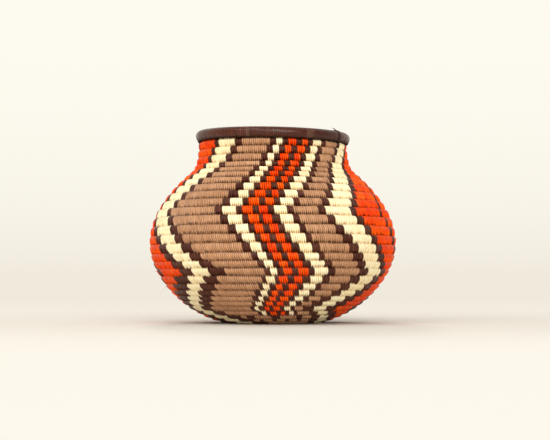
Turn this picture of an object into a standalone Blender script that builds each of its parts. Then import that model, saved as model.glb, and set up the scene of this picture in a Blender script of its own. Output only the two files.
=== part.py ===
"""Coiled basket: a round jar with a short neck, sewn row by row from one long coil.

A bundle of plant fibre winds out from the middle of the floor and up the wall to the neck.
Every row of the bundle is covered by its own run of sewn strands, which also bind it to the
row below. A thicker coil, wrapped in dark strand, is the rim. Each row lies level for most of
its turn and climbs to the next one across the back.

Metres, +Z up. The basket stands on z = 0 with its middle on the Z axis and its front at -Y.
"""
import math

import bmesh
import bpy
import numpy as np

# Outer form of the jar, measured over the crests of the rows
FLOOR_DIAMETER = 0.042
BELLY_DIAMETER = 0.1472
BELLY_HEIGHT = 0.0475
SHOULDER_DIAMETER = 0.0972
SHOULDER_HEIGHT = 0.0901
SHOULDER_SLOPE = math.radians(40)
NECK_DIAMETER = 0.0888
NECK_RISE = 0.0177

# Fullness of the curves between those places, as shares of each curve's span
BOWL_FULLNESS = 0.48
BELLY_FULLNESS = 0.42
SHOULDER_FULLNESS = 0.32
CORNER_FULLNESS = 0.22
NECK_FULLNESS = 0.52

# Heights of the rows, from the middle of the floor up to the rim. They are uneven, as in any
# basket sewn by hand, and share out the whole length of the wall.
ROW_HEIGHTS = (
    0.0048, 0.0048, 0.0048, 0.0048, 0.0049, 0.0049, 0.0049, 0.0050, 0.0050, 0.0051, 0.0043,
    0.0042, 0.0046, 0.0047, 0.0054, 0.0048, 0.0041, 0.0045, 0.0053, 0.0049, 0.0053, 0.0055,
    0.0053, 0.0054, 0.0056, 0.0057, 0.0050, 0.0047, 0.0046, 0.0043, 0.0049, 0.0047, 0.0042,
)

# Rows that lie flat in the floor
FLOOR_ROWS = 4

# Cross-section of a row
WALL_THICKNESS = 0.0052
FULL_ROW_HEIGHT = 0.0040
GROOVE_DEPTH = 0.0008
STRAND_THICKNESS = 0.0006
CLEARANCE = 0.0003
FOOT_CUT = 0.0005

# The coil
START_RADIUS = 0.0036
START_EDGE = 0.0006
CLIMB_ANGLE = math.radians(80)
STATIONS_PER_TURN = 18
WALL_BUNDLE_LOOPS = 24
TAIL_LENGTH = 0.75

# Rim
RIM_THICKNESS = 0.0058
RIM_OVERHANG = 0.0018
RIM_TILT = math.radians(1.1)
RIM_STATION_ANGLE = math.radians(12)
RIM_SIDES = 10
RIM_BUNDLE_SIDES = 6

# Places on the rim, as angles from the front towards the right
RIM_TIE_ANGLE = math.radians(58.6)
RIM_SPLICE_ANGLES = (math.radians(28.3), math.radians(-20.0))
RIM_TIE_WIDTH = 0.0022
RIM_TIE_SWELL = 0.0004

# Colours as they look in daylight, with roughness
SEWN_WALL = ((0.80, 0.58, 0.40), 0.55)
SEWN_FLOOR = ((0.70, 0.51, 0.39), 0.60)
BUNDLE_FIBRE = ((0.76, 0.66, 0.45), 0.80)
DARK_STRAND = ((0.31, 0.20, 0.15), 0.45)
TIE_STRAND = ((0.24, 0.15, 0.12), 0.45)

# The curve that turns a daylight colour into the values a shader takes
DAYLIGHT_OFFSET = 0.055
DAYLIGHT_POWER = 2.4

SMOOTH_ANGLE = math.radians(50)
CURVE_SAMPLES = 240

HALF_WALL = WALL_THICKNESS / 2
HALF_FLAT = HALF_WALL - GROOVE_DEPTH
HALF_BORE = HALF_FLAT - STRAND_THICKNESS / 2
HALF_BUNDLE = HALF_BORE - CLEARANCE


def bezier(start, start_handle, end_handle, end):
    """Points of a cubic curve, from start up to but not including end."""
    t = np.linspace(0, 1, CURVE_SAMPLES, endpoint=False)[:, None]
    return (
        (1 - t) ** 3 * np.array(start)
        + 3 * (1 - t) ** 2 * t * np.array(start_handle)
        + 3 * (1 - t) * t ** 2 * np.array(end_handle)
        + t ** 3 * np.array(end)
    )


class Profile:
    """Middle line of the wall as (radius, height), measured by length from the floor's middle."""

    def __init__(self):
        floor_height = HALF_WALL - FOOT_CUT
        floor = np.array((FLOOR_DIAMETER / 2, floor_height))
        belly = np.array((BELLY_DIAMETER / 2 - HALF_WALL, BELLY_HEIGHT))
        slope = np.array((-math.cos(SHOULDER_SLOPE), math.sin(SHOULDER_SLOPE)))
        outward = np.array((slope[1], -slope[0]))
        corner = np.array((SHOULDER_DIAMETER / 2, SHOULDER_HEIGHT)) - outward * HALF_WALL
        neck = np.array((NECK_DIAMETER / 2 - HALF_WALL, SHOULDER_HEIGHT + NECK_RISE))

        across = np.array((1.0, 0.0))
        up = np.array((0.0, 1.0))
        bowl_span = belly - floor
        shoulder_span = np.linalg.norm(corner - belly)
        neck_span = np.linalg.norm(neck - corner)
        bowl = bezier(
            floor,
            floor + across * BOWL_FULLNESS * bowl_span[0],
            belly - up * BOWL_FULLNESS * bowl_span[1],
            belly,
        )
        shoulder = bezier(
            belly,
            belly + up * BELLY_FULLNESS * (corner[1] - belly[1]),
            corner - slope * SHOULDER_FULLNESS * shoulder_span,
            corner,
        )
        throat = bezier(
            corner,
            corner + slope * CORNER_FULLNESS * neck_span,
            neck - up * NECK_FULLNESS * (neck[1] - corner[1]),
            neck,
        )
        middle = np.array((0.0, floor_height))
        above = neck + up * RIM_THICKNESS
        points = np.vstack(([middle], bowl, shoulder, throat, [neck, above]))
        steps = np.linalg.norm(np.diff(points, axis=0), axis=1)
        lengths = np.concatenate(([0.0], np.cumsum(steps)))
        directions = np.gradient(points, lengths, axis=0)
        directions /= np.linalg.norm(directions, axis=1)[:, None]
        directions[0] = across
        directions[1] = across

        self.points = points
        self.lengths = lengths
        self.directions = directions
        self.top = lengths[-2]

    def at(self, length):
        """Point, direction of travel and outward normal at a length along the profile."""
        point = np.array([np.interp(length, self.lengths, self.points[:, i]) for i in (0, 1)])
        along = np.array([np.interp(length, self.lengths, self.directions[:, i]) for i in (0, 1)])
        along /= np.linalg.norm(along)
        outward = np.array((along[1], -along[0]))
        return point, along, outward


PROFILE = Profile()


def row_levels():
    """Lengths along the profile where one row ends and the next begins."""
    ends = np.cumsum((0.0,) + ROW_HEIGHTS)
    return START_RADIUS + (PROFILE.top - START_RADIUS) * ends / ends[-1]


LEVELS = row_levels()
ROW_COUNT = len(LEVELS) - 1
TURN_ANGLES = np.linspace(0, 2 * math.pi, STATIONS_PER_TURN + 1)


def climb(angle):
    """How far a row has risen towards the next one, from 0 to 1, at an angle round its turn."""
    share = (angle - (2 * math.pi - CLIMB_ANGLE)) / CLIMB_ANGLE
    share = min(max(share, 0.0), 1.0)
    return share * share * (3 - 2 * share)


def edge_length(level, angle):
    """Length along the profile of the edge above a level, at an angle round the turn."""
    if level >= ROW_COUNT:
        side = -PROFILE.at(PROFILE.top)[0][0] * math.sin(angle)
        return PROFILE.top - side * math.tan(RIM_TILT)
    above = edge_length(level + 1, angle) if level + 1 == ROW_COUNT else LEVELS[level + 1]
    return LEVELS[level] + (above - LEVELS[level]) * climb(angle)


def place(flat_point, angle, shift=0.0):
    """A (radius, height) point set at an angle from the back, and shifted along the coil."""
    radius, height = flat_point
    x = -radius * math.sin(angle) - shift * math.cos(angle)
    y = radius * math.cos(angle) - shift * math.sin(angle)
    return (x, y, height)


def row_corners(low, high, end_inset, half_depth):
    """Four corners of a row's section, inset from its edges along the wall: low, then high."""
    corners = []
    for length, inset in ((low, end_inset), (high, -end_inset)):
        point, along, outward = PROFILE.at(length)
        edge = point + along * inset
        corners.append((edge + outward * half_depth, edge - outward * half_depth))
    (low_out, low_in), (high_out, high_in) = corners
    return low_out, high_out, high_in, low_in


def row_outline(low, high, stands_on_floor):
    """Outside of a row's section: two flats that face the next rows, and a crest on each side."""
    low_out, high_out, high_in, low_in = row_corners(low, high, CLEARANCE / 2, HALF_FLAT)
    middle = (low + high) / 2
    point, _, outward = PROFILE.at(middle)
    fullness = min(1.0, (high - low) / FULL_ROW_HEIGHT)
    crest = HALF_FLAT + GROOVE_DEPTH * fullness
    outer_crest = point + outward * crest
    inner_crest = point - outward * crest
    if not stands_on_floor:
        return [low_out, outer_crest, high_out, high_in, inner_crest, low_in]
    cut_low = cut_at_floor(low_out, outer_crest)
    cut_high = cut_at_floor(high_out, outer_crest)
    return [low_out, cut_low, cut_high, high_out, high_in, inner_crest, low_in]


def cut_at_floor(corner, crest):
    """Point on the way from a corner to the crest where the row is cut flat to stand."""
    blunt_share = 0.8
    drop = corner[1] - crest[1]
    share = corner[1] / drop if crest[1] < 0 else blunt_share
    point = corner + (crest - corner) * min(share, blunt_share)
    return np.array((point[0], max(point[1], 0.0)))


def lowest_crest(row):
    """Height of a row's outer crest on the level part of its turn."""
    point, _, outward = PROFILE.at((LEVELS[row] + LEVELS[row + 1]) / 2)
    return point[1] + outward[1] * HALF_WALL


def turn_stations(first_angle, last_angle):
    """Angles of one row's sections, each with the shift that leaves the seam's clearance."""
    angles = [a for a in TURN_ANGLES if first_angle - 1e-6 <= a <= last_angle + 1e-6]
    shifts = [0.0] * len(angles)
    shifts[0] = CLEARANCE / 2
    shifts[-1] = -CLEARANCE / 2
    return list(zip(angles, shifts))


def loft(mesh, loops):
    """Skin a list of equal closed loops with triangles.

    The diagonals alternate round the loop, so that the two flats of neighbouring rows, which
    face each other, are split the same way and stay parallel where the rows climb.
    """
    for first, second in zip(loops, loops[1:]):
        count = len(first)
        for i in range(count):
            j = (i + 1) % count
            if i % 2 == 0:
                mesh.faces.new((first[i], first[j], second[j]))
                mesh.faces.new((first[i], second[j], second[i]))
            else:
                mesh.faces.new((first[i], first[j], second[i]))
                mesh.faces.new((first[j], second[j], second[i]))


def loop_edges(mesh, loop):
    """The edges round a loop of vertices, made where they are missing."""
    edges = []
    for first, second in zip(loop, loop[1:] + loop[:1]):
        edge = mesh.edges.get((first, second))
        edges.append(edge or mesh.edges.new((first, second)))
    return edges


def tube(outlines, bores=None):
    """Closed solid through a list of section outlines, hollow along its length if bores are given."""
    mesh = bmesh.new()
    outer = [[mesh.verts.new(point) for point in outline] for outline in outlines]
    loft(mesh, outer)
    inner = []
    if bores:
        inner = [[mesh.verts.new(point) for point in bore] for bore in bores]
        loft(mesh, inner)
    for end in (0, -1):
        edges = loop_edges(mesh, outer[end])
        if inner:
            edges += loop_edges(mesh, inner[end])
        bmesh.ops.triangle_fill(mesh, use_beauty=True, edges=edges)
    bmesh.ops.recalc_face_normals(mesh, faces=mesh.faces)
    return mesh


def ring(outlines, bores=None):
    """Closed solid through section outlines that go all the way round and meet."""
    mesh = bmesh.new()
    for sections in (outlines, bores):
        if sections:
            loops = [[mesh.verts.new(point) for point in section] for section in sections]
            loft(mesh, loops + loops[:1])
    bmesh.ops.recalc_face_normals(mesh, faces=mesh.faces)
    return mesh


def strand_material(name, finish):
    """Plain material from a daylight colour and a roughness."""
    colour, roughness = finish
    material = bpy.data.materials.new(name)
    material.use_nodes = True
    shader = material.node_tree.nodes["Principled BSDF"]
    offset = DAYLIGHT_OFFSET
    linear = [((value + offset) / (1 + offset)) ** DAYLIGHT_POWER for value in colour]
    shader.inputs["Base Color"].default_value = (*linear, 1.0)
    shader.inputs["Roughness"].default_value = roughness
    shader.inputs["Metallic"].default_value = 0.0
    return material


def add_piece(name, mesh, finish):
    """Turn a built mesh into a named object with its own material."""
    data = bpy.data.meshes.new(name)
    mesh.to_mesh(data)
    mesh.free()
    data.shade_smooth()
    data.set_sharp_from_angle(angle=SMOOTH_ANGLE)
    data.materials.append(strand_material(name, finish))
    piece = bpy.data.objects.new(name, data)
    bpy.context.collection.objects.link(piece)
    return piece


def row_edges(row, angle):
    """Lower and upper edge of a row at an angle round its turn."""
    low = edge_length(row, angle)
    high = edge_length(row + 1, angle)
    return low, min(high, edge_length(ROW_COUNT, angle))


def level_turn_end(row):
    """Angle where a row's sewn cover ends: the last row stops where it would climb."""
    if row == ROW_COUNT - 1:
        return 2 * math.pi - CLIMB_ANGLE
    return 2 * math.pi


def sewn_row(row):
    """The sewn cover of one row, hollow for the bundle."""
    foot = lowest_crest(row) < 0
    outlines = []
    bores = []
    for angle, shift in turn_stations(0.0, level_turn_end(row)):
        low, high = row_edges(row, angle)
        outline = row_outline(low, high, foot)
        bore = row_corners(low, high, CLEARANCE / 2 + STRAND_THICKNESS, HALF_BORE)
        outlines.append([place(point, angle, shift) for point in outline])
        bores.append([place(point, angle, shift) for point in bore])
    return tube(outlines, bores)


def bundle_sections(first_row, last_row):
    """Sections of the fibre bundle from the start of one row to the end of another."""
    inset = 1.5 * CLEARANCE + STRAND_THICKNESS
    sections = []
    for row in range(first_row, last_row + 1):
        stations = turn_stations(0.0, level_turn_end(row))
        if row > first_row:
            stations = stations[1:]
        for angle, shift in stations:
            low, high = row_edges(row, angle)
            at_an_end = len(sections) == 0 or (row == last_row and (angle, shift) == stations[-1])
            section = row_corners(low, high, inset, HALF_BUNDLE)
            sections.append([place(point, angle, shift if at_an_end else 0.0) for point in section])
    return sections


def least_gap_between_turns(sections):
    """Smallest distance between points of the bundle that lie one turn apart."""
    points = np.array(sections)
    inner = points[:-STATIONS_PER_TURN]
    outer = points[STATIONS_PER_TURN:]
    distances = np.linalg.norm(inner[:, :, None, :] - outer[:, None, :, :], axis=3)
    return distances.min()


def start_curl():
    """The first tight curl: a flat comma whose step meets the start of the first row."""
    top = HALF_WALL - FOOT_CUT + HALF_WALL
    layers = (
        (0.0, START_EDGE),
        (START_EDGE, 0.0),
        (top - START_EDGE, 0.0),
        (top, START_EDGE),
    )
    mesh = bmesh.new()
    loops = []
    for height, inset in layers:
        loop = []
        for angle in TURN_ANGLES:
            radius = edge_length(0, angle) - CLEARANCE / 2 - inset
            shift = -CLEARANCE / 2 if angle in (TURN_ANGLES[0], TURN_ANGLES[-1]) else 0.0
            loop.append(mesh.verts.new(place((radius, height), angle, shift)))
        loops.append(loop)
    loft(mesh, loops)
    mesh.faces.new(loops[0])
    mesh.faces.new(loops[-1])
    bmesh.ops.recalc_face_normals(mesh, faces=mesh.faces)
    return mesh


def coil_tail():
    """The thinned end of the coil, which fills the wedge under the rim at the back."""
    first = 2 * math.pi - CLIMB_ANGLE
    last = first + CLIMB_ANGLE * TAIL_LENGTH
    outlines = []
    for angle, shift in turn_stations(first, last):
        low = edge_length(ROW_COUNT - 1, angle)
        high = edge_length(ROW_COUNT, angle)
        outline = row_outline(low, high, False)
        outlines.append([place(point, angle, shift) for point in outline])
    return tube(outlines)


def rim_section(sides, flat_radius, angle, shift=0.0):
    """Polygon round the rim's middle line, with a flat below, at an angle from the back."""
    ring_radius = NECK_DIAMETER / 2 + RIM_OVERHANG - RIM_THICKNESS / 2
    ring_height = SHOULDER_HEIGHT + NECK_RISE + CLEARANCE + RIM_THICKNESS / 2
    corner_radius = flat_radius / math.cos(math.pi / sides)
    points = []
    for i in range(sides):
        turn = 2 * math.pi * (i + 0.5) / sides - math.pi / 2
        radius = ring_radius + corner_radius * math.cos(turn)
        x, y, _ = place((radius, 0.0), angle, shift)
        height = ring_height + corner_radius * math.sin(turn) - x * math.tan(RIM_TILT)
        points.append((x, y, height))
    return points


def rim_bore_radius():
    """Flat radius of the hollow in the rim's wrapping."""
    return RIM_THICKNESS / 2 - STRAND_THICKNESS


def rim_wrap(first, last, thickness):
    """Wrapping round the rim's bundle between two angles from the front, left to right."""
    count = max(1, math.ceil((last - first) / RIM_STATION_ANGLE))
    outlines = []
    bores = []
    for i in range(count + 1):
        angle = math.pi + first + (last - first) * i / count
        shift = CLEARANCE / 2 if i == 0 else -CLEARANCE / 2 if i == count else 0.0
        outlines.append(rim_section(RIM_SIDES, thickness / 2, angle, shift))
        bores.append(rim_section(RIM_BUNDLE_SIDES, rim_bore_radius(), angle, shift))
    return tube(outlines, bores)


def rim_bundle():
    """The thicker bundle inside the rim, all the way round."""
    count = round(2 * math.pi / RIM_STATION_ANGLE)
    radius = rim_bore_radius() - CLEARANCE
    return ring([
        rim_section(RIM_BUNDLE_SIDES, radius, 2 * math.pi * i / count) for i in range(count)
    ])


def build_coil():
    """The start, the sewn rows of floor and wall, the bundle inside them and the thinned end."""
    add_piece("coil_start", start_curl(), SEWN_FLOOR)
    for row in range(ROW_COUNT):
        if row < FLOOR_ROWS:
            add_piece(f"floor_row_{row + 1:02d}", sewn_row(row), SEWN_FLOOR)
        else:
            add_piece(f"wall_row_{row + 1 - FLOOR_ROWS:02d}", sewn_row(row), SEWN_WALL)
    add_piece("coil_tail", coil_tail(), SEWN_WALL)

    join = max(1, ROW_COUNT - WALL_BUNDLE_LOOPS)
    for name, first, last in (("floor_bundle", 0, join - 1), ("wall_bundle", join, ROW_COUNT - 1)):
        sections = bundle_sections(first, last)
        add_piece(name, tube(sections), BUNDLE_FIBRE)
        gap = least_gap_between_turns(sections)
        print(f"{name}: {last - first + 1} loops, least gap to itself {gap * 1000:.2f} mm")


def build_rim():
    """The rim's bundle, its wrapping in three strands, and the tie where the last strand ends."""
    add_piece("rim_bundle", rim_bundle(), BUNDLE_FIBRE)
    half_tie = RIM_TIE_WIDTH / NECK_DIAMETER
    right, left = RIM_SPLICE_ANGLES
    tie = RIM_TIE_ANGLE
    add_piece("rim_binding_1", rim_wrap(right, tie - half_tie, RIM_THICKNESS), DARK_STRAND)
    add_piece("rim_binding_2", rim_wrap(left, right, RIM_THICKNESS), DARK_STRAND)
    behind = left + 2 * math.pi
    add_piece("rim_binding_3", rim_wrap(tie + half_tie, behind, RIM_THICKNESS), DARK_STRAND)
    thickness = RIM_THICKNESS + RIM_TIE_SWELL
    add_piece("rim_tie", rim_wrap(tie - half_tie, tie + half_tie, thickness), TIE_STRAND)


def main():
    for old in list(bpy.data.objects):
        bpy.data.objects.remove(old, do_unlink=True)
    build_coil()
    build_rim()


main()
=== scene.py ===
import bisect
import math

import bpy
import numpy as np
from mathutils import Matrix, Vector


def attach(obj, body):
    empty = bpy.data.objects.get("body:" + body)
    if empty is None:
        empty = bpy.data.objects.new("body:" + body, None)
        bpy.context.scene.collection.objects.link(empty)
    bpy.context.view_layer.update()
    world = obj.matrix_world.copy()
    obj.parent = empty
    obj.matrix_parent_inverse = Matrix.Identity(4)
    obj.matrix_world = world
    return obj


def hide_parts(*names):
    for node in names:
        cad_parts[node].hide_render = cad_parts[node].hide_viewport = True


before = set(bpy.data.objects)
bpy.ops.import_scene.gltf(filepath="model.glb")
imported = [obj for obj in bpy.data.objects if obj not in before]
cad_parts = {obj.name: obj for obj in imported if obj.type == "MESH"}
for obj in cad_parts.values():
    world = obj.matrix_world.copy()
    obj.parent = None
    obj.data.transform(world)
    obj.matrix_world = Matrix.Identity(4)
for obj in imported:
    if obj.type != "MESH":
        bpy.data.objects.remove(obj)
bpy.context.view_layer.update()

# The looks of a coiled basket: every row of the coil gets its sewn strands, in zigzag bands
# of tan, cream, dark brown and orange. Metres, +Z up, front at -Y. Angles round the jar are
# counted from the back, so the front is at pi, unless a comment says otherwise.

BODY = "root"
SEED = 20
SAG_SEED = 500
RIM_SEED = 101
MILLIMETRES = 1000

# Outer form of the jar, over the crests of the rows
FLOOR_DIAMETER = 0.042
BELLY_DIAMETER = 0.1472
BELLY_HEIGHT = 0.0475
SHOULDER_DIAMETER = 0.0972
SHOULDER_HEIGHT = 0.0901
SHOULDER_SLOPE = math.radians(40)
NECK_DIAMETER = 0.0888
NECK_RISE = 0.0177
BOWL_FULLNESS = 0.48
BELLY_FULLNESS = 0.42
SHOULDER_FULLNESS = 0.32
CORNER_FULLNESS = 0.22
NECK_FULLNESS = 0.52
CURVE_SAMPLES = 240

# Heights of the rows, from the middle of the floor up to the rim. They are uneven, as in any
# basket sewn by hand, and share out the whole length of the wall.
ROW_HEIGHTS = (
    0.0048, 0.0048, 0.0048, 0.0048, 0.0049, 0.0049, 0.0049, 0.0050, 0.0050, 0.0051, 0.0043,
    0.0042, 0.0046, 0.0047, 0.0054, 0.0048, 0.0041, 0.0045, 0.0053, 0.0049, 0.0053, 0.0055,
    0.0053, 0.0054, 0.0056, 0.0057, 0.0050, 0.0047, 0.0046, 0.0043, 0.0049, 0.0047, 0.0042,
)
FULL_ROW_HEIGHT = 0.0040
FLOOR_ROWS = 4

# The coil
START_RADIUS = 0.0036
START_HOLE = 0.0004
CLIMB_ANGLE = math.radians(80)
TAIL_LENGTH = 0.75
WALL_BUNDLE_LOOPS = 24
WALL_THICKNESS = 0.0052
HALF_WALL = WALL_THICKNESS / 2
FOOT_CUT = 0.0005
BORE_HALF_THICKNESS = 0.0015
BORE_INSET = 0.0007
BUNDLE_HALF_THICKNESS = 0.0012
BUNDLE_INSET = 0.00105

# Rim, with places on it as angles from the front towards the right
RIM_THICKNESS = 0.0058
RIM_OVERHANG = 0.0018
RIM_TILT = math.radians(1.1)
RIM_CLEARANCE = 0.0003
RIM_RING_RADIUS = NECK_DIAMETER / 2 + RIM_OVERHANG - RIM_THICKNESS / 2
RIM_RING_HEIGHT = SHOULDER_HEIGHT + NECK_RISE + RIM_CLEARANCE + RIM_THICKNESS / 2
RIM_BORE_RADIUS = 0.0023
RIM_BUNDLE_RADIUS = 0.0020
RIM_TIE_ANGLE = math.radians(58.6)
RIM_SPLICE_ANGLES = (math.radians(28.3), math.radians(-20.0))
RIM_TIE_WIDTH = 0.0022
RIM_TIE_SWELL = 0.0004
RIM_WRAP_WIDTH = 0.00123
RIM_RIDGE_HEIGHT = 0.00009
RIM_LEAN = math.radians(2)
RIM_COVER = 0.0006
RIM_TONGUE_DROP = 0.0007
RIM_TONGUE_TURN = math.radians(-64)
RIM_TONGUE_SPREAD = math.radians(24)
RIM_RIDGE_LEVEL = 0.6
RIM_LEAN_JITTER_SHARE = 0.5
# Painted shade on the rim's underside next to the wall
RIM_UNDERSIDE_SHADE = 0.8
SPLICE_REACH = 1.6
RIM_TONES = {"rim_binding_1": 0.0, "rim_binding_2": 0.4, "rim_binding_3": 0.6, "rim_tie": 0.0}
RIM_TONE_SPREAD = 0.4

# Sewing
STITCH_WIDTH = 0.0012
FEWEST_STRANDS = 8
SEAM_JITTER = 0.07
ROUNDNESS_RANGE = (0.7, 1.25)
TIP_RANGE = (0.5, 1.35)
LEAST_FULLNESS = 0.05
PLAIN_TONE = 0.5
RIDGE_HEIGHT = 0.0003
GROOVE_EDGE = 0.0008
GROOVE_SHARPNESS = 2.0
TONGUE_LENGTH = 0.0015
TONGUE_FACE = 0.0016
# Painted shade in the grooves between rows: how much strand tips are kept out of it, and how it
# spreads from seams and middles
TIP_BRIGHTNESS = 0.5
UPPER_TIP_SHARE = 0.35
SEAM_SHADE = 1.2
MIDDLE_SHADE = 2.8
LONGEST_REACH = 0.5
INNER_TONGUE_SHARE = 0.5
UNDERSIDE_SHARE = 0.6
LEAN_AT_BELLY = math.radians(13)
LEAN_ON_SHOULDER = math.radians(8)
LEAN_AT_NECK = math.radians(3)
LEAN_JITTER = math.radians(2.5)
SHARP_CREASE = math.radians(48)

# Unevenness of a row's edge: how far it strays, and in how many waves a turn
ROW_SAG = 0.00013
SAG_CYCLES = (3, 5, 8, 13, 21)

# Places across one strand, from crease to crease, with its roundness and the shape of its tip
STRAND_PLACES = (0.0, 0.17, 0.5, 0.83)
STRAND_ROUNDNESS = (0.0, 0.82, 1.0, 0.82)
STRAND_TIP = (0.0, 0.35, 1.0, 0.35)
SHALLOWEST_CREASE = 0.6

# Points round a section and along a tube
OUTER_POINTS = 12
INNER_POINTS = 9
SECTION_POINTS = OUTER_POINTS + INNER_POINTS + 3
BORE_POINTS = SECTION_POINTS // 3
BORE_STATIONS = 60
BUNDLE_STATIONS = 72
BUNDLE_STEMS = 7
BUNDLE_STEM_DEPTH = 0.16
BUNDLE_TWIST = 5
STEM_MAP_STEP = 0.02
STEM_MAP_WIDTH = 4.0

# Bake map: the outside of a piece is folded into lines, and its bore and small parts lie below
BAKE_LINES = 6
BAKE_MARGIN = 0.03
OUTSIDE_BAND = (0.06, 1.0)
BORE_BAND = (0.0, 0.03)
LOOSE_BAND = (0.032, 0.042)
CAP_PLACE = 0.045

# The zigzag bands, which come twice round the basket. Rows are counted down from the rim.
# Four lines of narrow bands swing left and right on the way down: their middles are given
# in degrees from the front, positive towards the right, on the rows where they turn.
STRAIGHT_ANGLE = 180
TURN_ROWS = (1, 4, 11, 15, 18, 21, 24, 28)
CHECK_LINE = (21.3, 11.5, -9.6, 3.8, 13.9, 7.0, 0.1, 16.0)
RIGHT_LINE = (69.0, 54.4, 32.2, 47.6, 59.2, 46.9, 34.6, 62.0)
EDGE_LINE = (99.6, 83.3, 65.0, 79.0, 103.5, 87.0, 77.0, 104.0)
LEFT_LINE = (-36.4, -49.0, -70.6, -51.5, -37.2, -54.5, -64.0, -33.0)

# Widths of the bands in stitches, from left to right, on five rows
WIDTH_ROWS = (4, 11, 18, 21, 25)
CHECK_BANDS = (
    ("dark", (3, 4.5, 2.5, 2.5, 2.5)),
    ("cream", (3, 7, 3.5, 2.9, 2)),
    ("dark", (3, 3, 3, 2.6, 2)),
    ("orange", (3.5, 5, 3.5, 3.1, 2.5)),
    ("dark", (3, 2.5, 3, 2.6, 2)),
    ("orange", (3.5, 4, 5, 3.9, 2.5)),
    ("dark", (3, 3, 3.5, 2.9, 2)),
    ("cream", (4.5, 6, 7, 4.9, 2)),
    ("dark", (3, 3, 4, 3.1, 2)),
)
RIGHT_BANDS = (
    ("dark", (3, 4, 7, 6.1, 5)),
    ("cream", (7.5, 13.5, 12.5, 9.9, 6.5)),
    ("dark", (3, 4, 8, 8, 7)),
)
EDGE_BANDS = (("dark", (2, 3, 9, 9.5, 12)),)
LEFT_BANDS = (
    ("dark", (3, 4.5, 9.5, 16, 8)),
    ("cream", (10, 16, 10, 9.6, 9)),
    ("dark", (4, 4, 8.5, 8.3, 8)),
)
LAST_PATTERN_ROW = 28
LAST_CHECK_ROW = 25
DOT_SPACING = {26: 12, 27: 6}
DOT_WIDTH = {26: 3, 27: 2}

# Loose ends of strands on the rows: row from the rim, strand, degrees from the front, how far
# the end stands out and up, and its thickness
LOOSE_ENDS = (
    (20, "orange", -83.0, 0.0046, -0.0072, 0.00016),
    (18, "orange", -85.0, 0.0013, -0.0004, 0.00040),
    (14, "orange", 83.0, 0.0013, 0.0006, 0.00035),
    (16, "orange", 82.0, 0.0010, 0.0009, 0.00025),
    (2, "dark", 52.0, 0.0010, 0.0004, 0.00030),
)
LOOSE_POINTS = 7
LOOSE_SIDES = 6
LOOSE_ROOT = 0.0010
LOOSE_TAPER = 0.35
LOOSE_TONE = 0.7
LOOSE_ASIDE = (0.31, 0.95, 0.05)

# End of the tie's strand, which sticks up over the rim: places from its root, and thickness
TIE_END = (
    (0.0, 0.0, -0.0008),
    (-0.0006, 0.0, 0.0004),
    (-0.0015, -0.0002, 0.0012),
    (-0.0026, -0.0002, 0.0018),
)
TIE_END_THICKNESS = 0.0009
TIE_END_TURN = math.radians(75)

# Strands: daylight colours in their deep, plain and light parts, then the colour of the painted
# shade in their creases and grooves
STRANDS = {
    "tan": ((0.59, 0.41, 0.29), (0.735, 0.54, 0.385), (0.85, 0.67, 0.52), (0.20, 0.09, 0.05)),
    "dark": ((0.20, 0.07, 0.035), (0.31, 0.14, 0.08), (0.44, 0.26, 0.19), (0.05, 0.01, 0.00)),
    "cream": ((0.94, 0.835, 0.61), (0.99, 0.94, 0.765), (1.00, 0.985, 0.86), (0.76, 0.57, 0.34)),
    "orange": ((0.88, 0.07, 0.00), (0.97, 0.29, 0.00), (1.00, 0.48, 0.08), (0.32, 0.00, 0.00)),
}
STRAND_NAMES = list(STRANDS)
STRAND_ROUGHNESS = 0.26
GLINTS = {"tan": 0.24, "dark": 0.18, "cream": 0.22, "orange": 0.1}
# Faintest painted shade in the creases of each strand
FAINTEST_CREASES = {"tan": 0.2, "dark": 0.4, "cream": 0.35, "orange": 0.5}
# Rim, splice and stem strands have the same four colours, the last one for their painted shade
RIM_STRAND = ((0.18, 0.035, 0.000), (0.28, 0.095, 0.02), (0.39, 0.20, 0.10), (0.05, 0.01, 0.00))
SPLICE_STRAND = ((0.24, 0.13, 0.09), (0.36, 0.23, 0.17), (0.45, 0.33, 0.27), (0.10, 0.04, 0.02))
BUNDLE_STEM = ((0.50, 0.40, 0.24), (0.68, 0.57, 0.36), (0.80, 0.70, 0.48), (0.30, 0.22, 0.12))

# Roughness and glint of the other strands, and the faintest painted shade in their creases
RIM_FINISH = (0.19, 0.34)
SPLICE_FINISH = (0.33, 0.2)
STEM_FINISH = (0.6, 0.3)
FAINTEST_OTHER_CREASE = 0.4

# Surface of a strand: fibres along it, stains over it, a painted highlight along its middle,
# painted shade in the crease on each side and in the grooves beside it.
# A range is of the noise or the distance that a change is spread over.
FIBRES_ACROSS = 7.0
FIBRES_ALONG = 0.45
FIBRE_RANGE = (0.3, 0.7)
STAIN_SCALE = 230.0
STAIN_RANGE = (0.32, 0.68)
RIDGE_HIGHLIGHT_RANGE = (0.1, 0.5)
TONE_SHARE = 0.34
FIBRE_SHARE = 0.26
STAIN_SHARE = 0.16
RIDGE_HIGHLIGHT_SHARE = 0.24
DEEP_TO_PLAIN = (0.1, 0.5)
PLAIN_TO_LIGHT = (0.5, 0.9)
CREASE_RANGE = (0.3, 1.0)
CREASE_EDGE = (0.02, 0.22)
GROOVE_RANGE = (0.25, 0.75)
GROOVE_DARKNESS = 0.97
FIBRE_ROUGHNESS = (-0.06, 0.10)
POLISH_SPREAD = (-0.08, 0.14)
FIBRE_RELIEF = 0.5
FIBRE_HEIGHT = 0.00003


def bezier(start, start_handle, end_handle, end):
    """Points of a cubic curve, from start up to but not including end."""
    t = np.linspace(0, 1, CURVE_SAMPLES, endpoint=False)[:, None]
    return (
        (1 - t) ** 3 * np.array(start)
        + 3 * (1 - t) ** 2 * t * np.array(start_handle)
        + 3 * (1 - t) * t ** 2 * np.array(end_handle)
        + t ** 3 * np.array(end)
    )


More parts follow.
